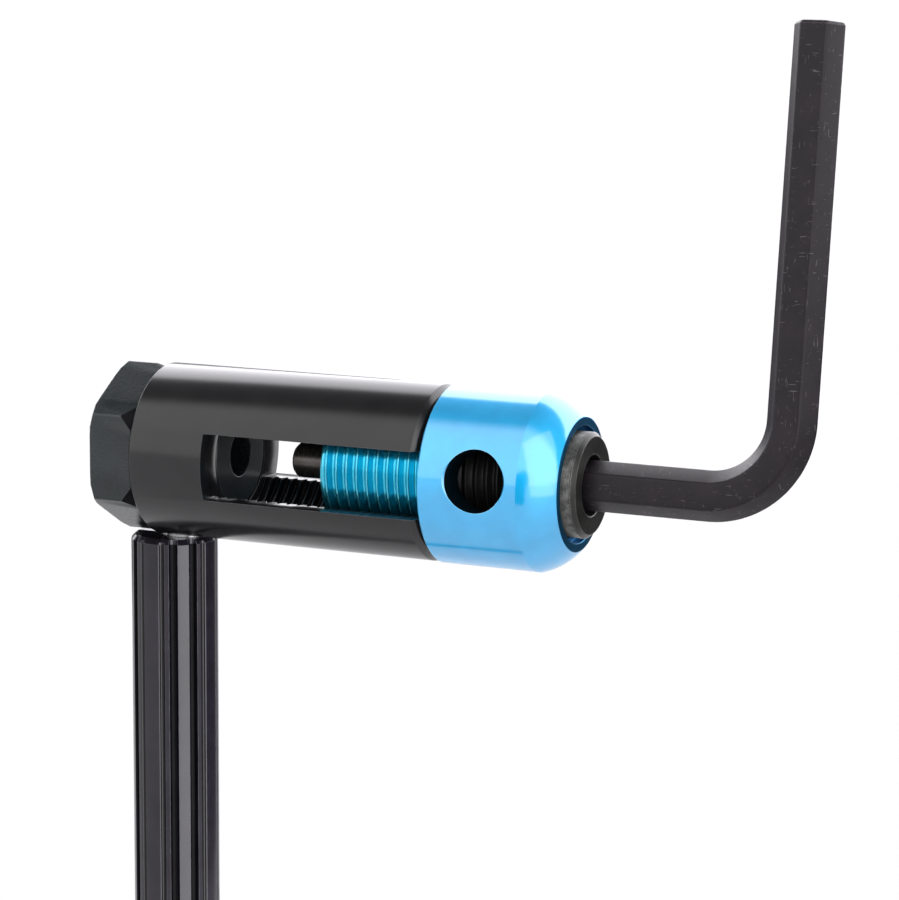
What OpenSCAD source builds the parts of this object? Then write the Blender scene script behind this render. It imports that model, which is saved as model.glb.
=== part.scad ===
// Compact bicycle chain tool: a slotted body with a screwed anvil plug at one end and a
// threaded barrel at the other, a drive screw and push pin on the same axis, a fluted handle
// bar below it and the hex key that turns the screw. Millimetres.
// The origin is the centre of the anvil face. +X runs along the tool axis towards the barrel,
// +Z is up and the chain lies in the slot along Y.

/* [Body] */
// Outside diameter of the body
body_d = 16; // [15.8:0.1:16.6]
// Solid wall behind the anvil face, which holds the plug and the handle stud
end_wall = 7.5; // [7.4:0.1:9]
// Length of the chain slot, from the anvil face to the open end of the body
slot_len = 21.25; // [20.8:0.05:22]
// Height of the chain slot
slot_h = 6.1; // [5.8:0.1:6.6]
// Edge chamfer at the open end of the body
mouth_chamfer = 0.8; // [0.4:0.05:0.9]

/* [Anvil plug] */
// Width over the flats of the hexagon head
plug_af = 13.8; // [13.2:0.1:13.8]
// Thickness of the hexagon head
plug_head_t = 4.35; // [3.5:0.05:6]
// Outside diameter of the plug thread
plug_thread_d = 10; // [9:0.5:10]
// Bore that takes the rivet as it leaves the chain
rivet_bore_d = 4.2; // [3.8:0.1:4.6]

/* [Barrel] */
// Outside diameter of the barrel head
head_d = 16.2; // [16:0.1:16.8]
// Length of the straight part of the head
head_len = 9.35; // [9:0.05:10]
// Length of the rounded nose
nose_len = 3.05; // [2.8:0.05:3.6]
// Diameter of the flat ring at the end of the nose
nose_end_d = 12; // [11.6:0.1:12.6]
// Radius of the nose outline
nose_r = 6; // [5:0.5:12]
// Outside diameter of the barrel thread
barrel_thread_d = 12; // [11.8:0.1:12]
// Distance from the anvil face to the front face of the barrel
barrel_front = 10.75; // [10:0.25:11.5]
// Diameter of the tommy-bar hole in the head
tommy_d = 5.6; // [5.2:0.1:5.8]
// Distance from the anvil face to the centre of the tommy-bar hole
tommy_x = 26.7; // [26.2:0.1:27]
// Angle of the tommy-bar hole above the front of the head
tommy_tilt = 7.5; // [0:0.5:15]

/* [Drive screw and pin] */
// Outside diameter of the drive screw
screw_d = 9.5; // [9:0.1:9.6]
// Length of the drive screw
screw_len = 13; // [12.5:0.25:13]
// How far the screw stands out of the barrel
screw_out = 1.1; // [0.6:0.1:2]
// Diameter of the push pin
pin_d = 3.2; // [3:0.1:3.3]
// Distance from the anvil face to the tip of the push pin
pin_tip = 6; // [5.5:0.25:7]

/* [Handle] */
// Outside diameter of the fluted bar
bar_d = 8.1; // [7.6:0.1:8.4]
// Length of the fluted bar
bar_len = 90; // [60:5:140]
// Distance of the bar's centre line behind the anvil face
bar_back = 6.95; // [6:0.05:7]
// Angle of the flutes about the bar
bar_turn = -5.5; // [-45:0.5:45]

/* [Hex key] */
// Width over the flats of the key
key_af = 4; // [3.9:0.05:4]
// Distance from the anvil face to the centre line of the long arm
key_reach = 52.6; // [48:0.2:60]
// Height of the key's end above the tool axis
key_rise = 41.2; // [30:0.2:75]
// Radius of the bend, to the centre line
key_bend = 7; // [6:0.5:9]
// Lean of the long arm away from the front
key_lean = 8; // [-30:1:30]

/* [Hidden] */

$fn = 64;
run_gap = 0.05;                                 // radial clearance of a running fit
over = 1;                                       // how far a cutter runs past a face
sharp = 0.01;                                   // bevel of an edge that is left sharp
lead_in = 0.4;                                  // bevel at the start of a thread
body_r = body_d / 2;
body_back_chamfer = 0.25;
barrel_bore_r = barrel_thread_d / 2 + run_gap;
head_gap = 0.1;                                 // the head stops just clear of the body
head_x = slot_len + head_gap;
head_r = head_d / 2;
head_bevel = 0.15;
shoulder_x = head_x + head_len;
nose_x = shoulder_x + nose_len;
nose_end_r = nose_end_d / 2;
recess_r = 5.25;
recess_depth = 0.9;
screw_r = screw_d / 2;
screw_face = nose_x + screw_out;
screw_front = screw_face - screw_len;
screw_travel = 7;                               // travel of the screw towards the anvil
screw_stop_gap = 0.2;                           // bore left beyond the end of the travel
screw_bore_x = screw_front - screw_travel - screw_stop_gap;
screw_bevel = 0.35;
counterbore_r = 2.75;
counterbore_depth = 1.2;
socket_depth = 5;
socket_gap = 0.1;                               // play of the key across its flats and at its end
socket_af = key_af + socket_gap;
pocket_r = 2.35;
pocket_depth = 3;
pin_r = pin_d / 2;
pin_head_r = 2.3;
pin_head_t = 1.5;
pin_end = screw_front + pocket_depth - run_gap; // back face of the pin's head
pin_len = pin_end - pin_tip;
pin_bevel = 0.3;
pin_head_bevel = 0.2;
snap_in = 0.7;                                  // depth of the snap ring below the screw's front
snap_x = screw_front + snap_in;
snap_t = 0.6;
snap_r = 2.75;
snap_slit = 1;
snap_gap = 0.1;
snap_bore_r = pin_r + snap_gap;
face_groove_r = 6.95;                           // centre line of the groove under the head
face_groove_w = 1.2;
face_groove_depth = 1;
o_ring_wire_r = 0.5;
o_ring_proud = 0.08;                            // how far the ring stands out of its groove
plug_gap = 0.15;                                // washer face between head and body
plug_washer_in = 0.6;                           // washer face inside the width over the flats
plug_lead_in = 0.3;
plug_face_r = 7.35;                             // radius left at both faces of the head
head_trim_out = 0.3;
plug_outer_chamfer = 0.6;
plug_inner_taper = 1.7;
stud_r = 1.5;
stud_x = -5.5;
stud_collar_r = 1.95;
stud_seat = 7.6;                                // depth of the flat seat below the axis
stud_len_up = 2.35;
stud_len_down = 9;
stud_end_gap = 0.3;
bar_gap = 0.02;
bar_r = bar_d / 2;
bar_top = -body_r - bar_gap;
bar_bottom = bar_top - bar_len;
bar_chamfer = 0.45;
face_count = 4;
fine_groove_angle = 15.7;
fine_groove_r = 0.24;
deep_groove_angle = 31.6;
deep_groove_r = 0.37;
deep_groove_in = 0.22;
store_r = 2.4;
store_depth = 32;
cap_r = 3.5;
cap_t = 1.6;
cap_chamfer = 0.5;
cap_shank = 8;
cap_shank_r = store_r - run_gap;
cap_tip_chamfer = 0.3;
cap_groove_z = 3.2;                             // height of the groove's centre
cap_groove_w = 1;
cap_groove_depth = 0.7;
cap_o_ring_wire_r = 0.34;

// Turns a shape drawn about Z so that it lies about the tool axis, with its top towards +X
module along_x(x = 0) translate([x, 0, 0]) rotate([0, 90, 0]) children();

// A plain rod on the tool axis from x0 to x1
module rod_x(r, x0, x1) along_x(x0) cylinder(r = r, h = x1 - x0);

// A rod on the tool axis with a bevel at each end
module bevelled_rod_x(r, x0, x1, c0, c1)
    along_x() rotate_extrude()
        polygon([[0, x0], [r - c0, x0], [r, x0 + c0], [r, x1 - c1], [r - c1, x1], [0, x1]]);

// A round ring of wire on the tool axis
module wire_ring(ring_r, wire_r)
    rotate_extrude() translate([ring_r, 0]) circle(r = wire_r, $fn = 24);

module body() color([0.10, 0.10, 0.11]) difference() {
    bevelled_rod_x(body_r, -end_wall, slot_len, body_back_chamfer, mouth_chamfer);
    rod_x(plug_thread_d / 2 + run_gap / 2, -end_wall - over, over);
    rod_x(barrel_bore_r, 0, slot_len + over);
    translate([0, -body_d, -slot_h / 2]) cube([slot_len + over, 2 * body_d, slot_h]);
    translate([stud_x, 0, -body_r - over]) cylinder(r = stud_r, h = body_r);
    translate([stud_x, 0, -body_r - over])
        cylinder(r = stud_collar_r + run_gap, h = body_r + over - stud_seat);
}

// Outline that trims the hexagon head: a light chamfer outside, a long taper at the body
module head_trim(x0, x1, corner_r) along_x() rotate_extrude()
    polygon([[0, x0], [plug_face_r, x0], [corner_r + head_trim_out, x0 + plug_outer_chamfer],
        [corner_r + head_trim_out, x1 - plug_inner_taper], [plug_face_r, x1], [0, x1]]);

// Hexagon head with a short thread that carries the anvil face
module anvil_plug() color([0.09, 0.09, 0.10]) difference() {
    union() {
        head_x1 = -end_wall - plug_gap;
        head_x0 = head_x1 - plug_head_t;
        corner_r = plug_af / sqrt(3);
        intersection() {
            along_x(head_x0) cylinder(r = corner_r, h = plug_head_t, $fn = 6);
            head_trim(head_x0, head_x1, corner_r);
        }
        rod_x(plug_af / 2 - plug_washer_in, head_x1 - plug_gap, -end_wall);
        bevelled_rod_x(plug_thread_d / 2, head_x1 - plug_gap, 0, sharp, plug_lead_in);
    }
    rod_x(rivet_bore_d / 2, -end_wall - plug_gap - plug_head_t - over, over);
}

// Points of the nose outline: one arc from the shoulder to the flat end ring
function nose_points(steps = 8) =
    let (dx = nose_len, dr = nose_end_r - head_r, chord = norm([dx, dr]),
         slope = atan2(dr, dx), half = asin(chord / 2 / nose_r), deep = nose_r * cos(half),
         cx = shoulder_x + dx / 2 + deep * sin(slope), cr = head_r + dr / 2 - deep * cos(slope))
    [for (i = [0:steps]) let (a = slope + 90 + half - 2 * half * i / steps)
        [cr + nose_r * sin(a), cx + nose_r * cos(a)]];

module barrel() color([0.10, 0.62, 0.85]) difference() {
    union() {
        bevelled_rod_x(barrel_thread_d / 2, barrel_front, head_x + over, lead_in, sharp);
        along_x() rotate_extrude() polygon(concat(
            [[0, head_x], [head_r - head_bevel, head_x], [head_r, head_x + head_bevel]],
            nose_points(), [[0, nose_x]]));
    }
    rod_x(screw_r + run_gap, screw_bore_x, nose_x + over);
    rod_x(pin_r + run_gap, barrel_front - over, screw_bore_x + over);
    rod_x(recess_r, nose_x - recess_depth, nose_x + over);
    rotate([-tommy_tilt, 0, 0]) translate([tommy_x, 0, 0]) rotate([90, 0, 0])
        cylinder(r = tommy_d / 2, h = body_d);
    along_x(head_x) rotate_extrude()
        translate([face_groove_r - face_groove_w / 2, -over])
            square([face_groove_w, face_groove_depth + over]);
}

// Friction ring in the groove under the head
module barrel_o_ring() color([0.05, 0.05, 0.05])
    along_x(head_x + o_ring_wire_r - o_ring_proud) wire_ring(face_groove_r, o_ring_wire_r);

module drive_screw() color([0.16, 0.16, 0.17]) difference() {
    bevelled_rod_x(screw_r, screw_front, screw_face, lead_in, screw_bevel);
    rod_x(pocket_r, screw_front - over, screw_front + pocket_depth);
    rod_x(snap_r, snap_x, snap_x + snap_t);
    rotate([-key_lean, 0, 0]) along_x(screw_face - socket_depth)
        cylinder(r = socket_af / sqrt(3), h = socket_depth + over, $fn = 6);
    rod_x(counterbore_r, screw_face - counterbore_depth, screw_face + over);
}

// One push pin with its tip at the origin, pointing along -X
module pin_blank() {
    bevelled_rod_x(pin_r, 0, pin_len, pin_bevel, sharp);
    bevelled_rod_x(pin_head_r, pin_len - pin_head_t, pin_len, pin_head_bevel, pin_head_bevel);
}

module push_pin() color([0.30, 0.29, 0.28]) translate([pin_tip, 0, 0]) pin_blank();

// Split ring that keeps the pin's head in the screw
module pin_snap_ring() color([0.55, 0.55, 0.56]) difference() {
    rod_x(snap_r, snap_x, snap_x + snap_t);
    rod_x(snap_bore_r, snap_x - over, snap_x + snap_t + over);
    translate([snap_x - over, -snap_slit / 2, 0]) cube([snap_t + 2 * over, snap_slit, body_r]);
}

// Section of the fluted bar: four lands, each between two fine grooves and two deep ones
module bar_section() difference() {
    circle(r = bar_r);
    for (face = [0:face_count - 1], side = [-1, 1]) rotate(360 / face_count * face - 90) {
        rotate(side * fine_groove_angle) translate([bar_r, 0]) circle(r = fine_groove_r, $fn = 24);
        rotate(side * deep_groove_angle) translate([bar_r - deep_groove_in, 0])
            circle(r = deep_groove_r, $fn = 24);
    }
}

module handle_bar() color([0.10, 0.10, 0.12]) difference() {
    translate([-bar_back, 0, bar_bottom]) rotate([0, 0, bar_turn]) intersection() {
        linear_extrude(height = bar_len) bar_section();
        rotate_extrude() polygon([[0, 0], [bar_r - bar_chamfer, 0], [bar_r, bar_chamfer],
            [bar_r, bar_len - bar_chamfer], [bar_r - bar_chamfer, bar_len], [0, bar_len]]);
    }
    translate([stud_x, 0, bar_top - stud_len_down]) cylinder(r = stud_r, h = stud_len_down + over);
    translate([-bar_back, 0, bar_bottom - over]) cylinder(r = store_r, h = store_depth + over);
}

// Threaded stud with a collar that seats in the body
module handle_stud() color([0.60, 0.60, 0.62]) {
    stud_bottom = bar_top - stud_len_down + stud_end_gap;
    translate([stud_x, 0, stud_bottom])
        cylinder(r = stud_r, h = stud_len_up - stud_seat - stud_bottom);
    translate([stud_x, 0, bar_top]) cylinder(r = stud_collar_r, h = -bar_top - stud_seat);
}

// Push-in plug that closes the pin store
module end_plug() color([0.08, 0.08, 0.09]) translate([-bar_back, 0, bar_bottom]) difference() {
    rotate_extrude() polygon([[0, -cap_t], [cap_r - cap_chamfer, -cap_t],
        [cap_r, cap_chamfer - cap_t], [cap_r, 0], [cap_shank_r, 0],
        [cap_shank_r, cap_shank - cap_tip_chamfer], [cap_shank_r - cap_tip_chamfer, cap_shank],
        [0, cap_shank]]);
    rotate_extrude() translate([cap_shank_r - cap_groove_depth, cap_groove_z - cap_groove_w / 2])
        square([cap_groove_depth + over, cap_groove_w]);
}

module end_plug_o_ring() color([0.05, 0.05, 0.05])
    translate([-bar_back, 0, bar_bottom + cap_groove_z])
        wire_ring(store_r - bar_gap - cap_o_ring_wire_r, cap_o_ring_wire_r);

// Spare pin in the handle, head down on the plug
module spare_pin() color([0.30, 0.29, 0.28])
    translate([-bar_back, 0, bar_bottom + cap_shank + pin_len]) rotate([0, 90, 0]) pin_blank();

module key_arm(len) cylinder(r = key_af / sqrt(3), h = len, $fn = 6);

module hex_key() color([0.20, 0.18, 0.18]) rotate([-key_lean, 0, 0]) {
    key_x0 = screw_face - socket_depth + socket_gap;
    along_x(key_x0) key_arm(key_reach - key_bend - key_x0);
    translate([key_reach - key_bend, 0, key_bend]) rotate([90, 0, 0]) rotate([0, 0, -90])
        rotate_extrude(angle = 90) translate([key_bend, 0]) circle(r = key_af / sqrt(3), $fn = 6);
    translate([key_reach, 0, key_bend]) key_arm(key_rise - key_bend);
}

body();
anvil_plug();
barrel();
barrel_o_ring();
drive_screw();
push_pin();
pin_snap_ring();
handle_bar();
handle_stud();
end_plug();
end_plug_o_ring();
spare_pin();
hex_key();
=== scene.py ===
import math
import bmesh
import bpy
from mathutils import Matrix, Vector


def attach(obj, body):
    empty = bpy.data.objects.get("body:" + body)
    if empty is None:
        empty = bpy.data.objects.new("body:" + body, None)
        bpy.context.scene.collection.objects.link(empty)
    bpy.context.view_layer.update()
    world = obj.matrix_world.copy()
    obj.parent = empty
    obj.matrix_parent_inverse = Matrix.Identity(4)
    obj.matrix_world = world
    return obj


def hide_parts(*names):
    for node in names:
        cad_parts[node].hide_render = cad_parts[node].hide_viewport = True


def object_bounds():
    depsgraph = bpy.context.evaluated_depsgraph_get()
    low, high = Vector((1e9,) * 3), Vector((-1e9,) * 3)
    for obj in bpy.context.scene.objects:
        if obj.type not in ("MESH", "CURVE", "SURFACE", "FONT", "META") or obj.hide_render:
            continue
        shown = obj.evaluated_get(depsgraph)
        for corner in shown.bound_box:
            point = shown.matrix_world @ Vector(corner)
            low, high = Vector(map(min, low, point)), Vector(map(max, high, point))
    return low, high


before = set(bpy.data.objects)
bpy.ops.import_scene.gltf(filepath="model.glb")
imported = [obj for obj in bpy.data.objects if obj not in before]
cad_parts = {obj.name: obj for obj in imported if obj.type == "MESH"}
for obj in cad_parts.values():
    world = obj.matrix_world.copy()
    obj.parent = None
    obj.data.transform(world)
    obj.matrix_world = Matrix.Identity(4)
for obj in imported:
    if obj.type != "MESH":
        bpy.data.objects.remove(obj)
CAD_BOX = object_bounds()

# Sizes of the tool are in millimetres and turned into metres by MM. The camera, the lights
# and the cards are placed in metres. The tool axis is X, and the anvil face is at x = 0.
MM = 0.001
TAU = 2 * math.pi
SHARP_ANGLE = math.radians(32)

BODY_BACK, BODY_R = -7.5, 8.0
SLOT_END, SLOT_HALF = 21.25, 3.05
CORE_R = 6.05
PLUG_R, RIVET_BORE_R = 5.0, 2.1
HEAD_X, HEAD_R = 21.35, 8.1
NOSE_X, NOSE_R, BARREL_END, BARREL_END_R = 30.7, 6.0, 33.75, 6.0
BARREL_START, SCREW_BORE_R, GUIDE_R = 10.75, 4.80, 1.65
MOUTH_X = 32.85
SCREW_START, SCREW_END, SCREW_R = 21.85, 34.85, 4.75
KEY_LEAN = 8.0
BAR_R, BAR_X, STUD_X = 4.05, -6.95, -5.5
BAR_TOP, BAR_BOTTOM = -8.02, -98.02

TO_CAMERA = (0.388, -0.904, 0.181)


# ---------------------------------------------------------------- camera, floor and light

def add_camera():
    """A long lens in front and to the right of the tool, looking a little down."""
    azimuth, elevation, roll = (math.radians(a) for a in (23.206, 10.437, 0.513))
    place = (0.12821, -0.24996, 0.05217)
    back = Vector((math.sin(azimuth) * math.cos(elevation),
                   -math.cos(azimuth) * math.cos(elevation), math.sin(elevation)))
    side = (-back).cross(Vector((0, 0, 1))).normalized()
    up = back.cross(side)
    right = side * math.cos(roll) + up * math.sin(roll)
    top = up * math.cos(roll) - side * math.sin(roll)
    turn = Matrix((right, top, back)).transposed().to_4x4()
    data = bpy.data.cameras.new("camera")
    data.lens = 123.24
    data.sensor_width = 36
    data.clip_start = 0.01
    data.clip_end = 200
    cam = bpy.data.objects.new("camera", data)
    cam.matrix_world = Matrix.Translation(place) @ turn
    bpy.context.scene.collection.objects.link(cam)
    bpy.context.scene.camera = cam


def add_plane(name, corners, finish_name, grey, rough, specular):
    """A flat card or floor of one plain grey."""
    data = bpy.data.meshes.new(name)
    data.from_pydata(corners, [], [(0, 1, 2, 3)])
    plane = bpy.data.objects.new(name, data)
    bpy.context.scene.collection.objects.link(plane)
    mat = bpy.data.materials.new(finish_name)
    mat.use_nodes = True
    shader = mat.node_tree.nodes["Principled BSDF"]
    shader.inputs["Base Color"].default_value = (grey, grey, grey, 1)
    shader.inputs["Roughness"].default_value = rough
    shader.inputs["Specular IOR Level"].default_value = specular
    data.materials.append(mat)
    return plane


def add_floor():
    """A wide pale floor under the lowest point of the tool."""
    low = CAD_BOX[0][2]
    size = 60
    corners = [(-size, -size, low), (size, -size, low), (size, size, low), (-size, size, low)]
    floor = add_plane("floor", corners, "floor_white", 0.64, 0.9, 0.1)


def add_flag(name, left, right, high):
    """A black card that stands on the floor from left to right, seen only in reflections."""
    low = CAD_BOX[0][2]
    corners = [(*left, low), (*right, low), (*right, high), (*left, high)]
    flag = add_plane(name, corners, name + "_black", 0.002, 0.5, 0.0)
    flag.visible_camera = False
    flag.visible_diffuse = False
    flag.visible_shadow = False


def add_area_light(name, place, target, width, height, energy):
    """A lit upright card that the camera doesn't see, turned to face the target."""
    data = bpy.data.lights.new(name, "AREA")
    data.shape = "RECTANGLE"
    data.size = width
    data.size_y = height
    data.energy = energy
    lamp = bpy.data.objects.new(name, data)
    lamp.location = place
    lamp.rotation_euler = (Vector(place) - Vector(target)).to_track_quat("Z", "Y").to_euler()
    lamp.visible_camera = False
    bpy.context.scene.collection.objects.link(lamp)
    return lamp


def add_handle_light(handle):
    """A small upright strip in front, on the right, that lights the handle alone."""
    strip = add_area_light("handle_strip", (0.048, -0.040, -0.055), (-0.007, 0, -0.05),
                           0.05, 0.14, 0.085)
    lit = bpy.data.collections.new("handle_strip_lit")
    lit.objects.link(handle)
    strip.light_linking.receiver_collection = lit


def add_studio():
    """Soft bands of light along X, from the front over the top to the back, and the cards."""
    world = bpy.data.worlds.new("studio")
    bpy.context.scene.world = world
    world.use_nodes = True
    tree = world.node_tree
    tree.nodes.clear()
    coord = tree.nodes.new("ShaderNodeTexCoord")
    split = tree.nodes.new("ShaderNodeSeparateXYZ")
    shade = tree.nodes.new("ShaderNodeBackground")
    out = tree.nodes.new("ShaderNodeOutputWorld")
    tree.links.new(coord.outputs["Generated"], split.inputs[0])
    forward = math_node(tree, "MULTIPLY", split.outputs["Y"], -1.0)
    angle = math_node(tree, "ARCTAN2", split.outputs["Z"], forward)
    turned = math_node(tree, "MULTIPLY", angle, 1 / math.pi)
    low, front, above, back = 0.10, 0.47, 0.05, (0.975, 0.96, 1.0)
    bands = ramp_node(tree, turned, [(0.0, low), (0.02, front), (0.40, front), (0.47, above),
                                     (0.675, above), (0.70, back), (1.0, back)])
    facing = dot_node(tree, coord.outputs["Generated"], TO_CAMERA)
    tripod = ramp_node(tree, facing, [(0.978, 1.0), (0.988, 0.2)])
    tree.links.new(mix_node(tree, 1.0, bands, tripod, "MULTIPLY"), shade.inputs["Color"])
    tree.links.new(shade.outputs[0], out.inputs["Surface"])
    shade.inputs["Strength"].default_value = 3.7
    card = add_area_light("card", (0.30, -0.17, 0.15), (0.02, 0, 0), 0.34, 0.5, 0.72)
    card.visible_diffuse = False
    add_flag("flag_behind", (0.177, 0.046), (0.052, 0.190), 0.022)
    add_flag("flag_front", (0.075, -0.289), (0.158, -0.253), 0.085)
    add_flag("flag_left", (-0.318, 0.215), (-0.142, 0.378), 0.05)
    view = bpy.context.scene.view_settings
    view.view_transform = "Standard"
    view.look = "None"


# ---------------------------------------------------------------- material nodes

def feed(tree, value, socket):
    """Feeds a socket from another socket, or with a plain number or colour."""
    if isinstance(value, bpy.types.NodeSocket):
        tree.links.new(value, socket)
    else:
        socket.default_value = (*value, 1) if isinstance(value, tuple) else value


def math_node(tree, operation, a, b):
    node = tree.nodes.new("ShaderNodeMath")
    node.operation = operation
    feed(tree, a, node.inputs[0])
    feed(tree, b, node.inputs[1])
    return node.outputs[0]


def dot_node(tree, direction, other):
    """Dot product of a socket with another socket or a plain vector."""
    node = tree.nodes.new("ShaderNodeVectorMath")
    node.operation = "DOT_PRODUCT"
    tree.links.new(direction, node.inputs[0])
    if isinstance(other, tuple):
        node.inputs[1].default_value = other
    else:
        tree.links.new(other, node.inputs[1])
    return node.outputs["Value"]


def ramp_node(tree, source, stops):
    """A colour ramp of (place, grey or colour) stops, fed by source."""
    node = tree.nodes.new("ShaderNodeValToRGB")
    for i, (place, level) in enumerate(stops):
        stop = node.color_ramp.elements[i] if i < 2 else node.color_ramp.elements.new(place)
        stop.position = place
        stop.color = (*level, 1) if isinstance(level, tuple) else (level, level, level, 1)
    tree.links.new(source, node.inputs[0])
    return node.outputs["Color"]


def noise_node(tree, scale, detail, rough):
    """Noise in object space, with its scale given per millimetre along X, Y and Z."""
    coord = tree.nodes.new("ShaderNodeTexCoord")
    fit = tree.nodes.new("ShaderNodeMapping")
    fit.inputs["Scale"].default_value = [s / MM for s in scale]
    node = tree.nodes.new("ShaderNodeTexNoise")
    node.inputs["Scale"].default_value = 1.0
    node.inputs["Detail"].default_value = detail
    node.inputs["Roughness"].default_value = rough
    tree.links.new(coord.outputs["Object"], fit.inputs[0])
    tree.links.new(fit.outputs[0], node.inputs["Vector"])
    return node.outputs["Fac"]


def mix_node(tree, factor, a, b, blend="MIX"):
    """Mixes two colours, each a socket or a plain colour."""
    node = tree.nodes.new("ShaderNodeMix")
    node.data_type = "RGBA"
    node.blend_type = blend
    feed(tree, factor, node.inputs["Factor"])
    for value, name in ((a, "A"), (b, "B")):
        feed(tree, value, next(s for s in node.inputs if s.name == name and s.type == "RGBA"))
    return next(s for s in node.outputs if s.type == "RGBA")


def bevel_node(tree, width):
    node = tree.nodes.new("ShaderNodeBevel")
    node.samples = 6
    node.inputs["Radius"].default_value = width * MM
    return node.outputs[0]


def edge_mask(tree, width):
    """White on edges, over about width millimetres."""
    sharp, flat = 0.86, 0.985
    geo = tree.nodes.new("ShaderNodeNewGeometry")
    agree = dot_node(tree, bevel_node(tree, width), geo.outputs["Normal"])
    return ramp_node(tree, agree, [(sharp, 1.0), (flat, 0.0)])


# ---------------------------------------------------------------- materials

def finish(name, dark, light, rough, metallic, grain=(6, 6, 6), grain_depth=0.004, blotch=0.35,
           wear=None, wear_width=0.16, spots=None, scratch=None, edge=0.08, coat=0.0,
           coat_ior=1.5, coat_rough=0.12, specular=0.5):
    """A worn metal or anodised finish.

    dark and light are the two colours it drifts between, rough is the range of roughness,
    grain the scale of the tool marks per millimetre, wear the colour of rubbed edges, spots
    the colour of rubbed patches and scratch the colour of scratches.
    """
    mat = bpy.data.materials.new(name)
    mat.use_nodes = True
    tree = mat.node_tree
    shader = tree.nodes["Principled BSDF"]
    shader.inputs["Metallic"].default_value = metallic
    shader.inputs["Coat Weight"].default_value = coat
    shader.inputs["Coat Roughness"].default_value = coat_rough
    shader.inputs["Coat IOR"].default_value = coat_ior
    shader.inputs["Specular IOR Level"].default_value = specular
    drift = noise_node(tree, (blotch, blotch, blotch), 3.0, 0.55)
    fine = noise_node(tree, grain, 3.0, 0.6)
    tone = ramp_node(tree, drift, [(0.32, dark), (0.68, light)])
    if spots:
        patch = ramp_node(tree, noise_node(tree, (1.3, 1.3, 1.3), 6.0, 0.7),
                          [(0.62, 0.0), (0.70, 0.8)])
        tone = mix_node(tree, patch, tone, spots)
    if scratch:
        for stretch in ((9.0, 0.5, 0.9), (0.8, 1.1, 7.0)):
            lines = ramp_node(tree, noise_node(tree, stretch, 2.0, 0.5),
                              [(0.69, 0.0), (0.73, 0.7)])
            tone = mix_node(tree, lines, tone, scratch)
    if wear:
        patchy = ramp_node(tree, noise_node(tree, (1.1, 1.1, 1.1), 5.0, 0.65),
                           [(0.34, 0.15), (0.62, 1.0)])
        rubbed = math_node(tree, "MULTIPLY", edge_mask(tree, wear_width), patchy)
        tone = mix_node(tree, rubbed, tone, wear)
    tree.links.new(tone, shader.inputs["Base Color"])
    sheen = ramp_node(tree, fine, [(0.25, rough[0]), (0.75, rough[1])])
    tree.links.new(sheen, shader.inputs["Roughness"])
    bump = tree.nodes.new("ShaderNodeBump")
    bump.inputs["Strength"].default_value = 1.0
    bump.inputs["Distance"].default_value = grain_depth * MM
    tree.links.new(fine, bump.inputs["Height"])
    tree.links.new(bevel_node(tree, edge), bump.inputs["Normal"])
    tree.links.new(bump.outputs[0], shader.inputs["Normal"])
    return mat


def make_black_finishes():
    return {
        "black_anodised": finish("black_anodised_satin", (0.005, 0.005, 0.006),
                                 (0.009, 0.009, 0.010), (0.17, 0.23), 0.0, grain=(9, 9, 9),
                                 grain_depth=0.0008, wear=(0.09, 0.09, 0.10), wear_width=0.12,
                                 specular=0.50),
        "black_oxide": finish("black_oxide_brushed", (0.008, 0.012, 0.013), (0.016, 0.021, 0.023),
                              (0.22, 0.34), 0.0, grain=(2, 22, 22), grain_depth=0.0006,
                              wear=(0.10, 0.11, 0.12), wear_width=0.14, specular=0.46),
        "handle_anodised": finish("handle_anodised_satin", (0.006, 0.005, 0.008),
                                  (0.012, 0.010, 0.016), (0.18, 0.26), 0.0, grain=(12, 12, 1.5),
                                  grain_depth=0.0010, wear=(0.13, 0.12, 0.15), wear_width=0.10,
                                  specular=0.42, edge=0.05),
        # Darker painted shade in the handle's fine grooves, with the land's gloss kept.
        "handle_shade_fine": finish("handle_shade_fine_groove", (0.002, 0.002, 0.003), (0.004, 0.004, 0.005),
                              (0.18, 0.26), 0.0, grain=(12, 12, 1.5), grain_depth=0.0010,
                              edge=0.03, specular=0.28),
        # Near-black painted shade: stands in for the shade in the handle's deep grooves and on the
        # anvil plug's hexagon faces that face the body.
        "handle_groove": finish("painted_shade_black", (0.002, 0.002, 0.003),
                                (0.004, 0.004, 0.005), (0.35, 0.5), 0.0, grain=(12, 12, 1.5),
                                grain_depth=0.0010, specular=0.06),
        "rubber": finish("black_rubber", (0.012, 0.012, 0.012), (0.020, 0.020, 0.020),
                         (0.55, 0.75), 0.0, grain=(7, 7, 7), grain_depth=0.006, edge=0.03),
    }


def make_blue_finishes():
    return {
        "blue_anodised": finish("blue_anodised_gloss", (0.006, 0.385, 0.74), (0.010, 0.44, 0.82),
                                (0.50, 0.58), 0.92, grain=(26, 1.2, 1.2), grain_depth=0.0007,
                                wear=(0.25, 0.70, 0.92), wear_width=0.12, coat=1.0,
                                coat_ior=2.0, coat_rough=0.12),
        "blue_end": finish("blue_anodised_turned", (0.004, 0.13, 0.29), (0.007, 0.17, 0.36),
                           (0.30, 0.42), 0.95, grain=(3, 22, 22), grain_depth=0.0010,
                           wear=(0.12, 0.50, 0.75), wear_width=0.12),
        # Near-black blue: painted shade inside the bore, the guide hole, the ring groove and the
        # tommy-bar hole.
        "blue_bore": finish("blue_anodised_bore_shade", (0.001, 0.010, 0.018), (0.002, 0.016, 0.026),
                            (0.40, 0.55), 0.6, grain=(12, 12, 12), grain_depth=0.0015,
                            specular=0.2),
        # The cut thread's cyan blue, made darker as painted shade from the slot it sits in.
        "blue_thread": finish("blue_anodised_thread_shaded", (0.004, 0.40, 0.58), (0.008, 0.50, 0.68),
                              (0.16, 0.26), 0.95, grain=(3, 16, 16), grain_depth=0.0010,
                              wear=(0.40, 0.85, 0.95), wear_width=0.10, coat=0.6,
                              coat_ior=1.6, edge=0.05),
    }


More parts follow.
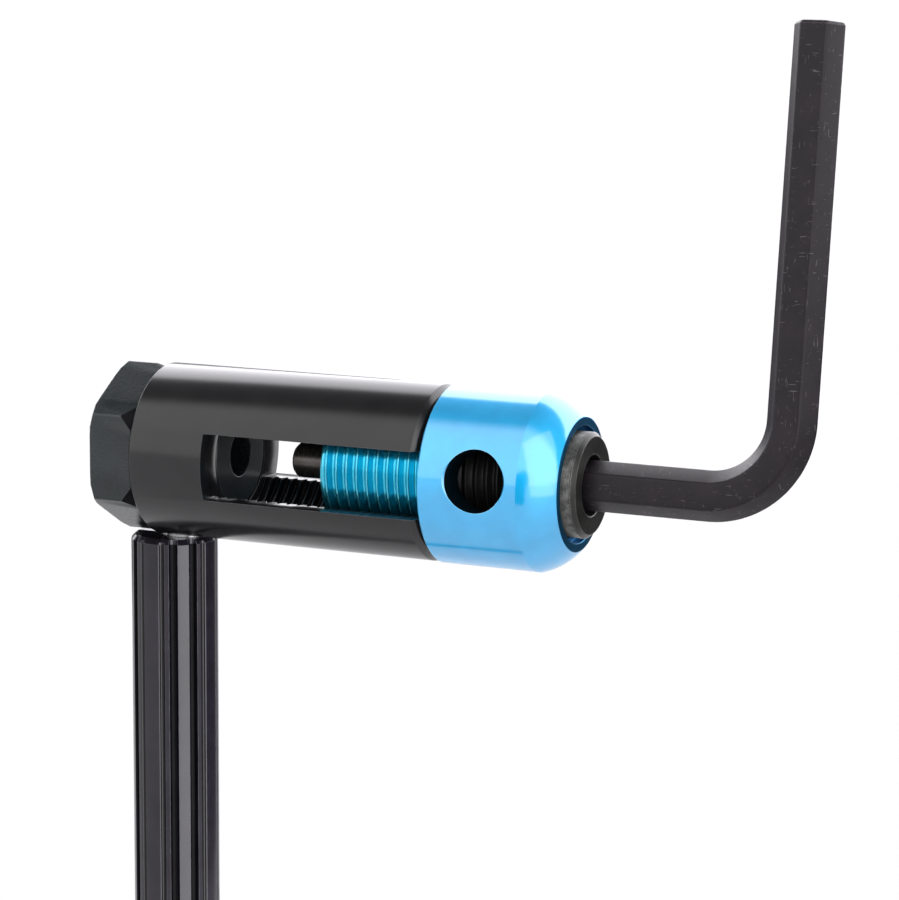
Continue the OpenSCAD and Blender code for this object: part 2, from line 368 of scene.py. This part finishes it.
def make_steel_finishes():
    return {
        "screw_steel": finish("screw_steel_oxide", (0.014, 0.014, 0.013), (0.026, 0.026, 0.024),
                              (0.28, 0.42), 0.25, grain=(10, 3, 3), grain_depth=0.003,
                              wear=(0.30, 0.30, 0.28), wear_width=0.20,
                              spots=(0.045, 0.044, 0.040), specular=0.28),
        # Near-black painted shade for the screw inside the barrel and deep in its hexagon socket.
        "screw_thread": finish("screw_inner_shade_black", (0.004, 0.004, 0.004), (0.008, 0.008, 0.008),
                               (0.30, 0.45), 0.2, grain=(10, 3, 3), grain_depth=0.003,
                               wear=(0.03, 0.03, 0.03), wear_width=0.10, specular=0.25),
        "key_steel": finish("key_steel_oxide", (0.008, 0.006, 0.008), (0.014, 0.010, 0.014),
                            (0.32, 0.46), 0.08, grain=(5, 5, 5), grain_depth=0.003, blotch=0.5,
                            wear=(0.26, 0.24, 0.25), wear_width=0.24,
                            spots=(0.055, 0.048, 0.055), scratch=(0.10, 0.09, 0.10),
                            edge=0.09, specular=0.25),
        "pin_steel": finish("pin_steel_tempered", (0.05, 0.045, 0.040), (0.09, 0.080, 0.075),
                            (0.22, 0.34), 0.8, grain=(20, 2, 2), grain_depth=0.002,
                            wear=(0.40, 0.38, 0.36)),
        "spring_steel": finish("spring_steel", (0.40, 0.39, 0.38), (0.52, 0.51, 0.50),
                               (0.24, 0.36), 1.0, grain=(8, 8, 8), grain_depth=0.002),
        "zinc_steel": finish("zinc_plated_steel", (0.50, 0.50, 0.52), (0.62, 0.62, 0.65),
                             (0.22, 0.34), 1.0, grain=(6, 6, 14), grain_depth=0.002),
    }


# ---------------------------------------------------------------- mesh building

def at(x, r, a):
    """A point at distance r from the tool axis, turned by angle a from +Y towards +Z."""
    return (x * MM, r * math.cos(a) * MM, r * math.sin(a) * MM)


def ring(x, r, angles):
    return [at(x, r, a) for a in angles]


def even_angles(count):
    return [TAU * (i + 0.5) / count for i in range(count)]


def mesh_object(name, verts, faces):
    data = bpy.data.meshes.new(name)
    data.from_pydata(verts, [], faces)
    tidy_mesh(data)
    obj = bpy.data.objects.new(name, data)
    bpy.context.scene.collection.objects.link(obj)
    return obj


def tidy_mesh(data, sharp=SHARP_ANGLE):
    """Merges doubled points, points the faces outwards and marks the hard edges."""
    bm = bmesh.new()
    bm.from_mesh(data)
    bmesh.ops.remove_doubles(bm, verts=bm.verts, dist=2e-6)
    bmesh.ops.dissolve_degenerate(bm, edges=bm.edges, dist=1e-6)
    bmesh.ops.recalc_face_normals(bm, faces=bm.faces)
    for face in bm.faces:
        face.smooth = True
    for edge in bm.edges:
        edge.smooth = len(edge.link_faces) == 2 and edge.calc_face_angle(0) < sharp
    bm.to_mesh(data)
    bm.free()


def rings_object(name, rings, loop=False, helix=None):
    """A closed surface through rings of points: a fan closes each end, unless it loops.

    helix = (first, last, turn) says which rings follow a thread. There each ring's last
    point meets the first point of the ring that comes turn rings later.
    """
    count = len(rings[0])
    first, last, turn = helix or (0, -1, 0)

    def point(k, i):
        if i < count:
            return k * count + i
        if first <= k <= last:
            k = min(k + turn, last)
        return k * count

    faces = []
    for k in range(len(rings) if loop else len(rings) - 1):
        n = (k + 1) % len(rings)
        faces += [(point(k, i), point(k, i + 1), point(n, i + 1), point(n, i))
                  for i in range(count)]
    if not loop:
        end = (len(rings) - 1) * count
        faces += [tuple(range(count)), tuple(range(end, end + count))]
    return mesh_object(name, [p for row in rings for p in row], faces)


THREAD = [(0.00, 0.10), (0.04, 0.0), (0.14, 0.0), (0.18, 0.10), (0.48, 0.92), (0.55, 1.0),
          (0.63, 1.0), (0.70, 0.92), (1.00, 0.10)]


def thread_depth(u):
    """Depth of a 60 degree thread, as a part of its height, at u turns along it."""
    u -= math.floor(u)
    for (u0, d0), (u1, d1) in zip(THREAD, THREAD[1:]):
        if u <= u1:
            return d0 + (d1 - d0) * (u - u0) / (u1 - u0)
    return THREAD[-1][1]


def thread_rows(x0, x1, radius, height, limit, angles, pitch=1.0):
    """Rows of points that follow a right-hand helix from x0 to x1.

    Row m at the last angle carries on as row m + turn at the first one, where turn is the
    number of rows in a pitch. limit(x) is the largest radius allowed at x.
    """
    rows = []
    for n in range(math.floor(x0 / pitch) - 2, math.ceil(x1 / pitch) + 2):
        for u, _ in THREAD[:-1]:
            row = []
            for a in angles:
                x = min(max((n + u + a / TAU) * pitch, x0), x1)
                depth = thread_depth(x / pitch - a / TAU)
                row.append(at(x, min(radius - height * depth, limit(x)), a))
            rows.append(row)
    return rows, len(THREAD) - 1


def threaded_object(name, before, thread, after, loop):
    """Joins plain rings, a threaded stretch and plain rings into one closed surface."""
    rows, turn = thread
    helix = (len(before), len(before) + len(rows) - 1, turn)
    return rings_object(name, before + rows + after, loop, helix)


def hex_radius(a, af, corner, turn):
    """Distance from the centre to a hexagon with rounded corners, in direction a."""
    apothem = af / 2
    reach = (apothem - corner) / math.cos(math.pi / 6)
    off = abs((a - turn) % (math.pi / 3) - math.pi / 6)
    if off <= math.atan2(reach / 2, apothem):
        return apothem / math.cos(off)
    slip = math.pi / 6 - off
    return reach * math.cos(slip) + math.sqrt(max(corner ** 2 - (reach * math.sin(slip)) ** 2, 0))


def hex_angles(af, corner, turn, flats=9, bends=4):
    """Angles that catch every corner of a rounded hexagon. Corners lie at turn + 60 k."""
    apothem = af / 2
    reach = (apothem - corner) / math.cos(math.pi / 6)
    edge = math.atan2(reach / 2, apothem)
    gap = math.pi / 3 - 2 * edge
    angles = []
    for k in range(6):
        middle = turn + math.pi / 3 * k + math.pi / 6
        angles += [middle - edge + 2 * edge * i / (flats - 1) for i in range(flats)]
        angles += [middle + edge + gap * i / bends for i in range(1, bends)]
    return angles


def cut(target, cutter):
    """Takes cutter out of target and removes the cutter."""
    mod = target.modifiers.new("cut", "BOOLEAN")
    mod.operation = "DIFFERENCE"
    mod.solver = "EXACT"
    mod.object = cutter
    apply_modifiers(target)
    data = cutter.data
    bpy.data.objects.remove(cutter)
    bpy.data.meshes.remove(data)


def apply_modifiers(obj):
    graph = bpy.context.evaluated_depsgraph_get()
    data = bpy.data.meshes.new_from_object(obj.evaluated_get(graph))
    obj.modifiers.clear()
    old, obj.data = obj.data, data
    data.name = obj.name
    bpy.data.meshes.remove(old)


def box_cutter(name, low, high):
    corners = [(x * MM, y * MM, z * MM) for x in (low[0], high[0]) for y in (low[1], high[1])
               for z in (low[2], high[2])]
    faces = [(0, 1, 3, 2), (4, 6, 7, 5), (0, 4, 5, 1), (2, 3, 7, 6), (0, 2, 6, 4), (1, 5, 7, 3)]
    return mesh_object(name, corners, faces)


def paint(obj, choose):
    """Gives every face the material slot that choose(centre in mm, normal) names."""
    for face in obj.data.polygons:
        face.material_index = choose(face.center / MM, face.normal)


# ---------------------------------------------------------------- pieces

def make_body():
    """The slotted body: a turned tube, cut by the slot, the stud's hole and the barrel's tap."""
    angles = even_angles(96)
    seat_r, back_edge, mouth = PLUG_R + 0.025, 0.25, 0.8
    outline = [(BODY_BACK, seat_r), (BODY_BACK, BODY_R - back_edge),
               (BODY_BACK + back_edge, BODY_R), (SLOT_END - mouth, BODY_R),
               (SLOT_END, BODY_R - mouth), (SLOT_END, CORE_R), (0.0, CORE_R), (0.0, seat_r)]
    body = rings_object("body_fork", [ring(x, r, angles) for x, r in outline], loop=True)
    clear = BODY_R + 2
    cut(body, box_cutter("slot_cutter", (0, -clear, -SLOT_HALF), (SLOT_END + 2, clear, SLOT_HALF)))
    hole_r, spot_r, spot_z = 1.5, 2.0, -7.6
    hole = [[((STUD_X + r * math.cos(a)) * MM, r * math.sin(a) * MM, z * MM)
             for a in even_angles(48)]
            for r, z in ((hole_r, -4.0), (hole_r, spot_z), (spot_r, spot_z), (spot_r, -9.0))]
    cut(body, rings_object("seat_cutter", hole))
    bevel = body.modifiers.new("edges", "BEVEL")
    bevel.width = 0.16 * MM
    bevel.segments = 2
    bevel.limit_method = "ANGLE"
    bevel.angle_limit = math.radians(38)
    apply_modifiers(body)
    tap_r, tap_height, tap_start, wide = 6.55, 0.62, 0.35, 9.0
    thread = thread_rows(-0.4, SLOT_END + 1, tap_r, tap_height, lambda x: wide, angles)
    tap = threaded_object("tap", [], thread, [], loop=False)
    trim = [(tap_start, PLUG_R), (tap_start, wide), (-2, wide), (-2, PLUG_R)]
    cut(tap, rings_object("tap_trim", [ring(x, r, angles) for x, r in trim], loop=True))
    cut(body, tap)
    tidy_mesh(body.data)
    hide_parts("body")
    return body, "frame", "black_anodised", []


def make_anvil_plug():
    """The plug: a hexagon head turned to a round at both ends, and a round shank."""
    af, corner, turn = 13.8, 0.3, math.pi / 2
    angles = hex_angles(af, corner, turn)
    back, front, face_r, relief_r = -12.0, -7.65, 7.35, 6.3
    back_bevel, front_taper, anvil_edge = 0.6, -1.7, 0.3
    reach = af / math.sqrt(3) + corner

    def face_ring(x):
        return [at(x, min(face_r, hex_radius(a, af, corner, turn)), a) for a in angles]

    def side_ring(x, depth):
        row = []
        for a in angles:
            r = hex_radius(a, af, corner, turn)
            row.append(at(x + depth * max(r - face_r, 0) / (reach - face_r), r, a))
        return row

    rings = [ring(back, RIVET_BORE_R + 0.2, angles), face_ring(back), side_ring(back, back_bevel),
             side_ring(front, front_taper), face_ring(front), ring(front, relief_r, angles),
             ring(BODY_BACK, relief_r, angles), ring(BODY_BACK, PLUG_R, angles),
             ring(-anvil_edge, PLUG_R, angles), ring(0.0, PLUG_R - anvil_edge, angles),
             ring(0.0, RIVET_BORE_R, angles), ring(back + 0.2, RIVET_BORE_R, angles)]
    plug = rings_object("anvil_plug_hex", rings, loop=True)
    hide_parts("anvil_plug")
    # The hexagon's faces that look towards the body, on its front taper and front face, get the
    # near-black slot: painted shade in the gap between the plug and the body.
    shade_from, shade_to = -9.4, -7.6
    paint(plug, lambda centre, normal: 1 if shade_from < centre.x < shade_to and normal.x > 0.25
          else 0)
    return plug, "frame", "black_oxide", ["handle_groove"]


def nose_profile(steps=14):
    """The rounded nose of the barrel, from the shoulder to its flat end ring."""
    dx, dr = BARREL_END - NOSE_X, BARREL_END_R - HEAD_R
    chord = math.hypot(dx, dr)
    slope, half = math.atan2(dr, dx), math.asin(chord / 2 / NOSE_R)
    deep = NOSE_R * math.cos(half)
    cx = NOSE_X + dx / 2 + deep * math.sin(slope)
    cr = HEAD_R + dr / 2 - deep * math.cos(slope)
    points = []
    for i in range(steps + 1):
        a = slope + math.pi / 2 + half - 2 * half * i / steps
        points.append((cx + NOSE_R * math.cos(a), cr + NOSE_R * math.sin(a)))
    return points


def make_barrel():
    """The barrel: threaded shank, head with a ring groove and a tommy-bar hole, round nose."""
    angles = even_angles(128)
    shank_r, height, root_r, lead_r = 5.98, 0.58, 5.4, 5.35
    thread = thread_rows(BARREL_START, 20.7, shank_r, height,
                         lambda x: lead_r + (x - BARREL_START) * 1.4, angles)
    groove_in, groove_out, groove_end, edge = 6.35, 7.55, HEAD_X + 1, 0.15
    mouth_r, step_r, soft = 5.25, 4.85, 0.05
    shank_end, mouth_start = 21.3, 32.8
    outline = [(20.75, root_r), (HEAD_X, root_r), (HEAD_X, groove_in), (groove_end, groove_in),
               (groove_end, groove_out), (HEAD_X, groove_out), (HEAD_X, HEAD_R - edge),
               (HEAD_X + edge, HEAD_R), (25.0, HEAD_R), (28.5, HEAD_R)] + nose_profile()[:-1]
    outline += [(BARREL_END - 0.03, BARREL_END_R + 0.03), (BARREL_END, BARREL_END_R - soft),
                (BARREL_END, mouth_r + soft), (BARREL_END - soft, mouth_r), (MOUTH_X, mouth_r),
                (MOUTH_X, step_r), (MOUTH_X - soft, SCREW_BORE_R), (14.65, SCREW_BORE_R),
                (14.65, GUIDE_R), (BARREL_START, GUIDE_R)]
    barrel = threaded_object("barrel_threaded", [], thread,
                             [ring(x, r, angles) for x, r in outline], loop=True)
    hole_x, hole_r, flare, tilt = 26.7, 2.8, 0.36, math.radians(7.5)
    drill = [[((hole_x + r * math.cos(a)) * MM, -depth * MM, r * math.sin(a) * MM)
              for a in even_angles(72)]
             for depth, r in ((3.4, hole_r), (7.92, hole_r), (8.35, hole_r + flare),
                              (11, hole_r + flare))]
    cutter = rings_object("drill", drill)
    cutter.data.transform(Matrix.Rotation(-tilt, 4, "X"))
    cut(barrel, cutter)
    tidy_mesh(barrel.data, math.radians(11))
    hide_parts("barrel")

    # Slot 2 is painted shade inside the bore, the ring groove and the tommy-bar hole; slot 3 is
    # the thread's blue, darkened as painted shade from the slot.
    def part(centre, normal):
        r = math.hypot(centre.y, centre.z)
        if centre.x < shank_end:
            return 3 if r > 5.2 or abs(normal.x) > 0.5 else 2
        if centre.x > mouth_start and (abs(normal.x) > 0.9 or r < 5.4):
            return 1
        return 2 if r < 7.75 and centre.x < NOSE_X else 0

    paint(barrel, part)
    return barrel, "barrel", "blue_anodised", ["blue_end", "blue_bore", "blue_thread"]


def make_drive_screw():
    """The drive screw: pin socket with a ring groove, thread, knurled rim and hexagon socket."""
    af, corner, turn = 4.1, 0.08, math.pi / 2 - math.radians(KEY_LEAN)
    angles = hex_angles(af, corner, turn, flats=15, bends=2)
    thread_end, root_r, counter_r, counter_x = 32.6, 4.70, 2.75, SCREW_END - 1.2
    shade_end = 32.7

    def limit(x):
        """The largest radius of the thread at x: a lead-in and a run-out."""
        return min(4.35 + (x - SCREW_START) * 1.2, 4.45 + (thread_end - x) * 1.0)

    thread = thread_rows(SCREW_START, thread_end, SCREW_R, 0.42, limit, angles)
    pin_r, groove_r = 2.35, 2.75
    before = [ring(x, r, angles)
              for x, r in ((24.85, pin_r), (23.15, pin_r), (23.15, groove_r), (22.55, groove_r),
                           (22.55, pin_r), (SCREW_START, pin_r))]
    after = [ring(thread_end + 0.05, root_r, angles)]
    for k in range(12):
        rib = 32.72 + 0.14 * k
        after += [ring(rib, SCREW_R - 0.005, angles), ring(rib + 0.07, root_r, angles)]
    rim = [(34.45, SCREW_R), (SCREW_END - 0.04, 4.41), (SCREW_END, 4.36),
           (SCREW_END, counter_r + 0.08), (SCREW_END - 0.05, counter_r), (counter_x, counter_r)]
    after += [ring(x, r, angles) for x, r in rim]
    sides = [hex_radius(a, af, corner, turn) for a in angles]
    after += [[at(x, r, a) for r, a in zip(sides, angles)] for x in (counter_x, 29.85)]
    screw = threaded_object("drive_screw_threaded", before, thread, after, loop=False)
    tidy_mesh(screw.data, math.radians(24))
    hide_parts("drive_screw")
    # Faces short of x = 32.7 mm, inside the barrel and in the deeper part of the hex socket, get
    # the near-black painted shade.
    paint(screw, lambda centre, normal: 1 if centre.x < shade_end else 0)
    return screw, "screw", "screw_steel", ["screw_thread"]


def make_hex_key():
    """A hexagon bar with rounded edges, swept along the short arm, the bend and the long arm."""
    af, corner, steps = 4.0, 0.38, 32
    start, reach, rise, bend = 29.95, 52.6, 41.2, 7.0
    section = [(hex_radius(a, af, corner, 0.0) * math.cos(a),
                hex_radius(a, af, corner, 0.0) * math.sin(a))
               for a in hex_angles(af, corner, 0.0, flats=3, bends=6)]
    path = [(start, 0, 0, 0.72), (start + 0.5, 0, 0, 1), (40.0, 0, 0, 1)]
    for i in range(steps + 1):
        t = math.pi / 2 * i / steps
        path.append((reach - bend + bend * math.sin(t), bend - bend * math.cos(t), t, 1))
    path += [(reach, 25.0, math.pi / 2, 1), (reach, rise - 0.28, math.pi / 2, 1),
             (reach, rise - 0.06, math.pi / 2, 0.93), (reach, rise, math.pi / 2, 0.84)]
    rings = []
    for x, z, t, size in path:
        rings.append([((x - n * size * math.sin(t)) * MM, b * size * MM,
                       (z + n * size * math.cos(t)) * MM) for n, b in section])
    key = rings_object("hex_key_bar", rings)
    key.data.transform(Matrix.Rotation(math.radians(-KEY_LEAN), 4, "X"))
    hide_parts("hex_key")
    return key, "key", "key_steel", []


def groove_half_angle(reach, r):
    """Half of the angle that a round groove of radius r, centred at reach, opens in the bar."""
    return math.acos((BAR_R ** 2 + reach ** 2 - r ** 2) / (2 * BAR_R * reach))


def groove_depth(reach, r, off):
    inner = r ** 2 - (reach * math.sin(off)) ** 2
    if inner <= 0:
        return 0.0
    return max(BAR_R - (reach * math.cos(off) - math.sqrt(inner)), 0.0)


def bar_section():
    """Outline of the fluted bar as (angle, radius): four lands between fine and deep grooves."""
    steps, lip_share, lip_drop = 8, 0.35, 0.03
    points = []
    for face in range(4):
        for side in (-1, 1):
            for centre, reach, r in ((15.7, BAR_R, 0.24), (31.6, BAR_R - 0.22, 0.37)):
                middle = math.radians(90 * face - 90 + side * centre)
                half = groove_half_angle(reach, r)
                lip = lip_share * half
                points.append((middle - half - lip, BAR_R))
                for k in range(steps + 1):
                    a = middle - half + 2 * half * k / steps
                    drop = groove_depth(reach, r, a - middle)
                    points.append((a, BAR_R - drop - (lip_drop if k in (0, steps) else 0)))
                points.append((middle + half + lip, BAR_R))
    points = sorted((a % TAU, r) for a, r in points)
    full = []
    for (a0, r0), (a1, _) in zip(points, points[1:] + [(points[0][0] + TAU, points[0][1])]):
        full.append((a0, r0))
        gaps = int((a1 - a0) / math.radians(4))
        full += [(a0 + (a1 - a0) * k / (gaps + 1), BAR_R) for k in range(1, gaps + 1)]
    return full


def make_handle():
    """The fluted bar, with a blind hole for the end plug and one for the stud."""
    section = bar_section()
    turn = math.radians(-5.5)
    hole_r, face_r, edge_r, bevel_r = 2.4, 3.2, 3.6, 3.88

    def row(z, limit=BAR_R, x=BAR_X):
        """The section at height z, with no radius above limit, about an upright axis at x."""
        return [((x + min(r, limit) * math.cos(a + turn)) * MM,
                 min(r, limit) * math.sin(a + turn) * MM, z * MM) for a, r in section]

    rings = [row(BAR_BOTTOM + 32, hole_r), row(BAR_BOTTOM + 0.2, hole_r),
             row(BAR_BOTTOM, hole_r + 0.2), row(BAR_BOTTOM, face_r), row(BAR_BOTTOM, edge_r),
             row(BAR_BOTTOM + 0.25, bevel_r), row(BAR_BOTTOM + 0.45)]
    rings += [row(BAR_BOTTOM + 10 + 10 * k) for k in range(8)]
    rings += [row(BAR_TOP - 0.45), row(BAR_TOP - 0.25, bevel_r), row(BAR_TOP, edge_r),
              row(BAR_TOP, face_r)]
    for k in range(9):
        rings += [row(BAR_TOP - k, 1.52, STUD_X), row(BAR_TOP - k - 0.5, 1.56, STUD_X)]
    bar = rings_object("handle_fluted_bar", rings)
    tidy_mesh(bar.data, math.radians(20))
    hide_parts("handle_bar")

    # Slot 1 paints the deep grooves near-black and slot 2 paints the fine grooves darker: painted
    # shade in the grooves.
    def part(point, normal):
        r = math.hypot(point.x - BAR_X, point.y)
        if not (BAR_BOTTOM + 1 < point.z < BAR_TOP - 1 and 3 < r < BAR_R - 0.04):
            return 0
        off = (math.atan2(point.y, point.x - BAR_X) - turn + math.pi / 4) % (math.pi / 2)
        return 1 if abs(off - math.pi / 4) > math.radians(24) else 2

    paint(bar, part)
    return bar, "frame", "handle_anodised", ["handle_groove", "handle_shade_fine"]


# ---------------------------------------------------------------- assembly

def dress(finishes):
    """Gives every CAD node the finish of its material slot."""
    slots = {"body": "black_anodised", "end_plug": "black_anodised", "anvil_plug": "black_oxide",
             "barrel": "blue_anodised", "barrel_o_ring": "rubber", "end_plug_o_ring": "rubber",
             "drive_screw": "screw_steel", "push_pin": "pin_steel", "spare_pin": "pin_steel",
             "pin_snap_ring": "spring_steel", "handle_bar": "handle_anodised",
             "handle_stud": "zinc_steel", "hex_key": "key_steel"}
    for name, slot in slots.items():
        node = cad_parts[name]
        node.data.materials.clear()
        node.data.materials.append(finishes[slot])


def add_piece(made, finishes):
    """Puts the finishes on a new piece and lets it ride on its body."""
    piece, body, slot, more = made
    places = [face.material_index for face in piece.data.polygons]
    piece.data.materials.clear()
    for name in [slot] + more:
        piece.data.materials.append(finishes[name])
    piece.data.polygons.foreach_set("material_index", places)
    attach(piece, body)
    return piece


def build():
    add_camera()
    add_floor()
    add_studio()
    finishes = {**make_black_finishes(), **make_blue_finishes(), **make_steel_finishes()}
    dress(finishes)
    for make in (make_body, make_anvil_plug, make_barrel, make_drive_screw, make_hex_key):
        add_piece(make(), finishes)
    add_handle_light(add_piece(make_handle(), finishes))


build()
